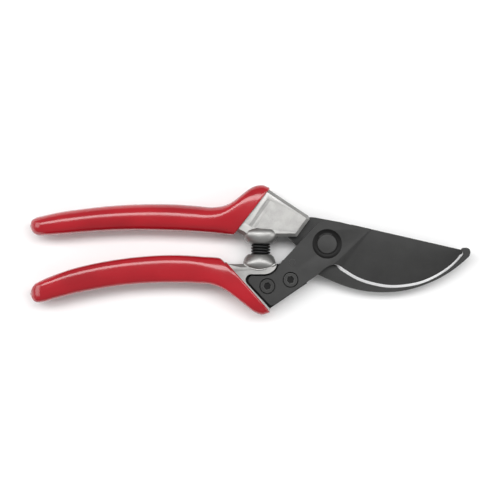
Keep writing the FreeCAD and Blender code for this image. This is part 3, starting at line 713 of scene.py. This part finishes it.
def in_groove(middle, _):
    """Finish of the upper handle: 2, a painted shade, in the groove across the collar, 0 elsewhere."""
    (ax, ay), (bx, by) = GROOVE_ENDS
    length = math.dist(*GROOVE_ENDS)
    aside = abs((middle.x - ax) * (by - ay) - (middle.y - ay) * (bx - ax)) / length
    along = ((middle.x - ax) * (bx - ax) + (middle.y - ay) * (by - ay)) / length
    beside = aside < GROOVE_HALF_WIDTH and -GROOVE_MARGIN < along < length + GROOVE_MARGIN
    return 2 if beside and GROOVE_FLOOR < middle.z < GROOVE_TOP else 0


def in_dish(middle, _):
    """Finish of the blade: 2, a painted shade, in the dish round the bolt's head, 0 elsewhere."""
    radius = math.hypot(middle.x, middle.y)
    return 2 if DISH_INNER < radius < DISH_OUTER and DISH_FLOOR < middle.z < BLADE_FACE else 0


def in_socket(middle, _):
    """Finish of a pair of screws: 2, a painted shade, inside their sockets, 0 elsewhere."""
    near = any(math.dist(place, middle[:2]) < SOCKET_REACH for place in UPPER_SCREWS + LOWER_SCREWS)
    return 2 if near and any(low < middle.z < high for low, high in SOCKET_HEIGHTS) else 0


class PRUNER_OT_handles(bpy.types.Operator):
    """Cast handles with softened edges, their spring seats, and the rim under the lower seat"""
    bl_idname = "pruner.handles"
    bl_label = "Handles"

    def execute(self, context):
        for node, name, body, painted_shade_places, paint in (
            ("upper_handle", "upper_casting", "hook_half", "groove", in_groove),
            ("lower_handle", "lower_casting", "blade_half", "recess", in_recess),
        ):
            # the third finish is painted shade in the groove and painted shadow in the recess
            finishes = ["casting", "casting_edge", painted_shade_places]
            dressed_solid(node, name, "cast_aluminium", finishes, CAST_ROUND * MM, body, paint=paint)
        for name, body, centre_x, stations in (
            ("upper_spring_seat", "hook_half", UPPER_SEAT_X, UPPER_SEAT),
            ("lower_spring_seat", "blade_half", LOWER_SEAT_X, LOWER_SEAT),
        ):
            mesh = seat_mesh(name, centre_x, stations)
            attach(add_object(name, mesh, None, ["dome"]), body)
        start, middle, end = (Vector(point) * MM for point in SEAT_RIM)
        bead = with_nodes("lower_seat_rim", bead_nodes(), {
            "Start": start, "Middle": middle, "End": end, "Bead Radius": RIM_RADIUS * MM,
            "Finish": material("casting_edge"),
        })
        smooth_faces(bead.data, 60)
        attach(bead, "blade_half")
        return {"FINISHED"}


# ---------------------------------------------------------------------------------------------------------
# blades

UPPER_SCREWS, LOWER_SCREWS = [(-28.3, 19.3), (-17.6, 13.4)], [(-28.3, -20.0), (-17.3, -17.0)]
# reach and heights of the screws' sockets that are painted in shade
SOCKET_REACH, SOCKET_HEIGHTS = 1.95, ((4.3, 5.9), (9.6, 11.2))
# radii and heights of the dish that is painted in shade, and the blade's face
DISH_INNER, DISH_OUTER, DISH_FLOOR, BLADE_FACE = 4.6, 7.0, 9.8, 11.59
HOOK_ROUND = 0.42
SHOULDER_HEEL, SHOULDER_SPINE = (3.1, -9.65), (20.6, 7.08)
SPINE_TIP = (62.6, -2.55)
EDGE_PATH = [
    SHOULDER_HEEL, (4.5, -10.3), (5.7, -11.65), (9.0, -14.0), (14.1, -16.94), (21.7, -19.5), (29.3, -20.75),
    (36.9, -20.45), (44.5, -18.95), (52.1, -15.66), (59.7, -10.43), (63.2, -6.8), (64.6, -4.9), (64.5, -3.4),
]
WING_COLUMNS, WING_ROWS = 170, 26
SPINE_DROP, SPINE_CHAMFER = 0.28, 0.35       # the ground face starts this far below the blade's own
HOLLOW_DEPTH, HOLLOW_CURVE, FULL_LENGTH = 1.7, 1.7, 17.0
EDGE_THICKNESS, HEEL_THICKNESS = 0.16, 0.9   # at the bright bevel's foot, and what it gains as it fades
HEEL_FADE, TIP_FADE, TIP_SHARE = 0.05, 0.06, 0.25
BEVEL_LEAST, BEVEL_MOST, BEVEL_RISE = 0.03, 0.45, 0.1
SHOULDER_RUN, SHOULDER_SPREAD = 0.012, 0.05  # share of the length over which the shoulder falls


def wing_mesh(name, back, front):
    """Ground part of the blade: hollow from spine to edge, with the bright bevel along the edge."""
    _, metal, _ = settings()
    width = metal.ground_width / MM
    edge = even_path(EDGE_PATH, WING_COLUMNS)
    spine = np.stack([np.linspace(a, b, WING_COLUMNS) for a, b in zip(SHOULDER_SPINE, SPINE_TIP)], axis=1)
    run = np.linspace(0, 1, WING_COLUMNS)
    loops = []
    top, thin = front - SPINE_DROP, back + EDGE_THICKNESS
    for s, e, t in zip(spine, edge, run):
        length = max(np.linalg.norm(e - s), 1e-6)
        here = width * min(1.0, t / HEEL_FADE) * min(1.0, (1 - t) / TIP_FADE + TIP_SHARE)
        here = min(max(here, BEVEL_LEAST), BEVEL_MOST * length)
        drop = HOLLOW_DEPTH * min(1.0, length / FULL_LENGTH)
        foot = min(thin + HEEL_THICKNESS * (1 - here / width), top - drop - BEVEL_RISE)
        toward = (e - s) / length
        chamfer = min(SPINE_CHAMFER, 0.2 * length)
        loop = [
            (*s, back), (*s, top - chamfer), (*(s + toward * chamfer * 0.35), top - chamfer * 0.3),
            (*(s + toward * chamfer), top),
        ]
        reach = length - here
        for k in range(1, WING_ROWS + 1):
            v = k / WING_ROWS
            ramp = min(1.0, t / (SHOULDER_RUN + SHOULDER_SPREAD * v))
            fall = (front - top + drop * v**HOLLOW_CURVE) * ramp * ramp * (3 - 2 * ramp)
            loop.append((*(s + toward * (chamfer + (reach - chamfer) * v)), front - 0.02 - fall))
        loop += [(*e, foot), (*e, back)]
        loops.append(loop)
    bands = [0, 1, 1] + [2] * WING_ROWS + [3, 3, 0]
    return loft(name, loops, bands)


def cut_at_shoulder(bm):
    """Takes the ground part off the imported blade, which the wing then stands for."""
    a, b = Vector((*SHOULDER_HEEL, 0)) * MM, Vector((*SHOULDER_SPINE, 0)) * MM
    across = (b - a).cross(Vector((0, 0, 1))).normalized()
    found = bmesh.ops.bisect_plane(
        bm, geom=bm.verts[:] + bm.edges[:] + bm.faces[:], plane_co=a, plane_no=across, clear_outer=True,
    )
    rim = [g for g in found["geom_cut"] if isinstance(g, bmesh.types.BMEdge)]
    bmesh.ops.holes_fill(bm, edges=rim, sides=0)
    bmesh.ops.recalc_face_normals(bm, faces=bm.faces)


class PRUNER_OT_blades(bpy.types.Operator):
    """Cutting blade with its hollow grind and bright edge, and the hook behind it"""
    bl_idname = "pruner.blades"
    bl_label = "Blades"

    def execute(self, context):
        _, metal, _ = settings()
        low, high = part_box("cutting_blade")
        back, front = low.z / MM, high.z / MM
        mesh = solid_mesh("cutting_blade", "cutting_blade_plate", cut_at_shoulder, in_dish)
        plate = add_object(
            "cutting_blade_plate", mesh, "cutting_blade",
            ["coating", "coating_edge_highlight", "dish"],
        )
        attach(round_edges(plate, metal.edge_round), "blade_half")
        wing = smooth_faces(wing_mesh("cutting_blade_wing", back, front), 24)
        piece = add_object(
            "cutting_blade_wing", wing, "cutting_blade",
            ["coating", "coating_edge_highlight", "hollow", "ground"],
        )
        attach(piece, "blade_half")
        dressed_solid(
            "hook_blade", "hook_plate", "coated_blade", ["coating", "coating_edge_highlight"], HOOK_ROUND * MM,
            "hook_half",
        )
        return {"FINISHED"}


# ---------------------------------------------------------------------------------------------------------
# pivot, screws and catch


class PRUNER_OT_fasteners(bpy.types.Operator):
    """Pivot bolt, nut and washers, tang screws, and the catch with its pin, sleeve and stud"""
    bl_idname = "pruner.fasteners"
    bl_label = "Fasteners and catch"

    def execute(self, context):
        # the screws take the coating, a painted highlight on their edges and a painted shade in their
        # sockets
        screw, steel = ["coating", "coating_edge_highlight", "dish"], ["steel", "steel"]
        for node, name, slot, finishes, width, body, *paint in (
            ("pivot_bolt", "pivot_bolt_head", "black_steel", ["coating", "coating_edge_highlight"], 0.3, "hook_half"),
            ("pivot_nut", "pivot_lock_nut", "plain_steel", steel, 0.18, "hook_half"),
            ("pivot_washer", "pivot_flat_washer", "plain_steel", steel, 0.08, "hook_half"),
            ("tension_washer", "pivot_cone_washer", "plain_steel", steel, 0.08, "hook_half"),
            ("hook_screws", "hook_tang_screws", "black_steel", screw, 0.2, "hook_half", in_socket),
            ("catch_stud", "catch_hook_stud", "plain_steel", steel, 0.2, "hook_half"),
            ("blade_screws", "blade_tang_screws", "black_steel", screw, 0.2, "blade_half", in_socket),
            ("catch_pin", "catch_rivet", "black_steel", ["coating", "coating_edge_highlight"], 0.12, "blade_half"),
            ("catch_spacer", "catch_sleeve", "plain_steel", steel, 0.1, "blade_half"),
            ("catch_lever", "catch_thumb_lever", "coated_catch", ["coating", "coating_edge_highlight"], 0.3, "catch"),
        ):
            dressed_solid(node, name, slot, finishes, width * MM, body, paint=paint[0] if paint else None)
        return {"FINISHED"}


# ---------------------------------------------------------------------------------------------------------
# spring


def coil_nodes():
    """Node tree of a coil spring: a spiral along Y swept with a round wire."""
    tree, inputs, outputs = new_tree("Coil spring", (
        ("Turns", "NodeSocketFloat", 13.0), ("Coil Radius", "NodeSocketFloat", 4 * MM),
        ("Height", "NodeSocketFloat", 18 * MM), ("Wire Radius", "NodeSocketFloat", 0.5 * MM),
    ))
    add, link = tree.nodes.new, tree.links.new
    spiral, turn = add("GeometryNodeCurveSpiral"), add("GeometryNodeTransform")
    circle = add("GeometryNodeCurvePrimitiveCircle")
    spiral.inputs["Resolution"].default_value = 40
    circle.inputs["Resolution"].default_value = 14
    turn.inputs["Rotation"].default_value = (-math.pi / 2, 0, 0)
    link(inputs.outputs["Turns"], spiral.inputs["Rotations"])
    link(inputs.outputs["Coil Radius"], spiral.inputs["Start Radius"])
    link(inputs.outputs["Coil Radius"], spiral.inputs["End Radius"])
    link(inputs.outputs["Height"], spiral.inputs["Height"])
    link(inputs.outputs["Wire Radius"], circle.inputs["Radius"])
    link(spiral.outputs["Curve"], turn.inputs["Geometry"])
    end_tree(tree, inputs, outputs, turn.outputs["Geometry"], circle.outputs["Curve"])
    return tree


class PRUNER_OT_spring(bpy.types.Operator):
    """Main spring, a coil between the two handles"""
    bl_idname = "pruner.spring"
    bl_label = "Main spring"

    def execute(self, context):
        _, _, spring = settings()
        low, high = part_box("main_spring")
        middle = (low + high) / 2
        wire = spring.wire / 2
        piece = with_nodes("main_coil_spring", coil_nodes(), {
            "Turns": spring.turns, "Coil Radius": (high.x - low.x) / 2 - wire,
            "Height": high.y - low.y - 2 * wire, "Wire Radius": wire, "Finish": material("spring"),
        })
        co = np.empty(len(piece.data.vertices) * 3)
        piece.data.vertices.foreach_get("co", co)
        co = co.reshape(-1, 3)
        co[:, 1] -= (co[:, 1].max() + co[:, 1].min()) / 2
        co += np.array(middle)
        piece.data.vertices.foreach_set("co", co.ravel())
        smooth_faces(piece.data, 60)
        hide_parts("main_spring")
        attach(piece, "hook_half")
        piece.parent = None         # unparented again, its place then baked into the mesh
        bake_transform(piece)
        return {"FINISHED"}


# ---------------------------------------------------------------------------------------------------------
# stage


FLOOR_HALF, FLOOR_BOTTOM, FLOOR_TOP = 4000, -40, -0.6      # in millimetres
DAYLIGHT = 0.32
LIGHTS = [                                 # place from the tool's middle, height, sides and power
    ("strip", (0.0, 0.52), 1.5, (2.4, 0.5), 24.0),
    ("left", (-1.3, 0.2), 0.75, (0.9, 0.9), 7.0),
    ("right", (1.3, -0.3), 0.75, (0.9, 0.9), 7.0),
]
LENS, SENSOR = 100, 36
VIEW_WIDTH = 237.5 / 209.0                 # width of the view in lengths of the tool
VIEW_SHIFT, VIEW_LEVEL = 0.2 * MM, 8 * MM  # the view's middle west of the tool's, and its height


def soft_light(name, place, target, size, power):
    """Rectangular lamp that faces the target."""
    lamp = bpy.data.lights.new(name, "AREA")
    lamp.shape = "RECTANGLE"
    lamp.size, lamp.size_y = size
    lamp.energy = power
    holder = bpy.data.objects.new(name, lamp)
    bpy.context.scene.collection.objects.link(holder)
    holder.location = place
    holder.rotation_euler = (Vector(target) - Vector(place)).to_track_quat("-Z", "Y").to_euler()


class PRUNER_OT_stage(bpy.types.Operator):
    """Pale floor, soft studio light and the camera straight above the flat tool"""
    bl_idname = "pruner.stage"
    bl_label = "Stage"

    def execute(self, context):
        scene = context.scene
        scene.view_settings.view_transform = "Standard"
        corners = [(x * FLOOR_HALF, y * FLOOR_HALF) for x, y in ((-1, -1), (1, -1), (1, 1), (-1, 1))]
        floor = prism("floor", corners, FLOOR_BOTTOM, FLOOR_TOP)
        s = Shader("pale_floor")
        tone = s.mix(s.noise(0.4), (0.9, 0.9, 0.9), (0.94, 0.94, 0.94))
        floor.materials.append(s.finish(tone, 0.85))
        ground = bpy.data.objects.new("floor", floor)
        scene.collection.objects.link(ground)
        ground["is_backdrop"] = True
        world = bpy.data.worlds.new("studio")
        scene.world = world
        world.use_nodes = True
        sky = world.node_tree.nodes["Background"]
        sky.inputs["Color"].default_value = (1, 1, 1, 1)
        sky.inputs["Strength"].default_value = DAYLIGHT
        low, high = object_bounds()
        middle = (low + high) / 2
        for name, (dx, dy), height, size, power in LIGHTS:
            soft_light(name, (middle.x + dx, middle.y + dy, height), middle, size, power)
        camera = bpy.data.cameras.new("camera")
        camera.lens = LENS
        camera.sensor_width = SENSOR
        holder = bpy.data.objects.new("camera", camera)
        scene.collection.objects.link(holder)
        distance = (high.x - low.x) * VIEW_WIDTH * LENS / SENSOR
        holder.location = (middle.x - VIEW_SHIFT, middle.y, VIEW_LEVEL + distance)
        scene.camera = holder
        return {"FINISHED"}


# ---------------------------------------------------------------------------------------------------------
# panel and registration


class PRUNER_PT_pieces(bpy.types.Panel):
    """Lists the steps that build the pruner"""
    bl_idname = "PRUNER_PT_pieces"
    bl_label = "Bypass pruner"
    bl_space_type = "VIEW_3D"
    bl_region_type = "UI"
    bl_category = "Pruner"

    def draw(self, context):
        for holder in settings():
            for key in holder.__annotations__:
                self.layout.prop(holder, key)
        for operator in OPERATORS:
            self.layout.operator(operator.bl_idname)


SETTINGS = {"pruner_grip": GripSettings, "pruner_metal": MetalSettings, "pruner_spring": SpringSettings}
OPERATORS = [
    PRUNER_OT_stage, PRUNER_OT_grips, PRUNER_OT_handles, PRUNER_OT_blades, PRUNER_OT_fasteners,
    PRUNER_OT_spring,
]


def register():
    """Adds the settings, the operators and the panel."""
    for cls in (*SETTINGS.values(), *OPERATORS, PRUNER_PT_pieces):
        bpy.utils.register_class(cls)
    for name, cls in SETTINGS.items():
        setattr(bpy.types.Scene, name, bpy.props.PointerProperty(type=cls))


def unregister():
    """Takes them away again."""
    for name in SETTINGS:
        delattr(bpy.types.Scene, name)
    for cls in (PRUNER_PT_pieces, *reversed(OPERATORS), *reversed(SETTINGS.values())):
        bpy.utils.unregister_class(cls)


def main():
    """Builds every piece in order."""
    register()
    for operator in OPERATORS:
        group, name = operator.bl_idname.split(".")
        if getattr(getattr(bpy.ops, group), name)() != {"FINISHED"}:
            raise RuntimeError(operator.bl_label + " didn't finish")


if __name__ == "__main__":
    main()
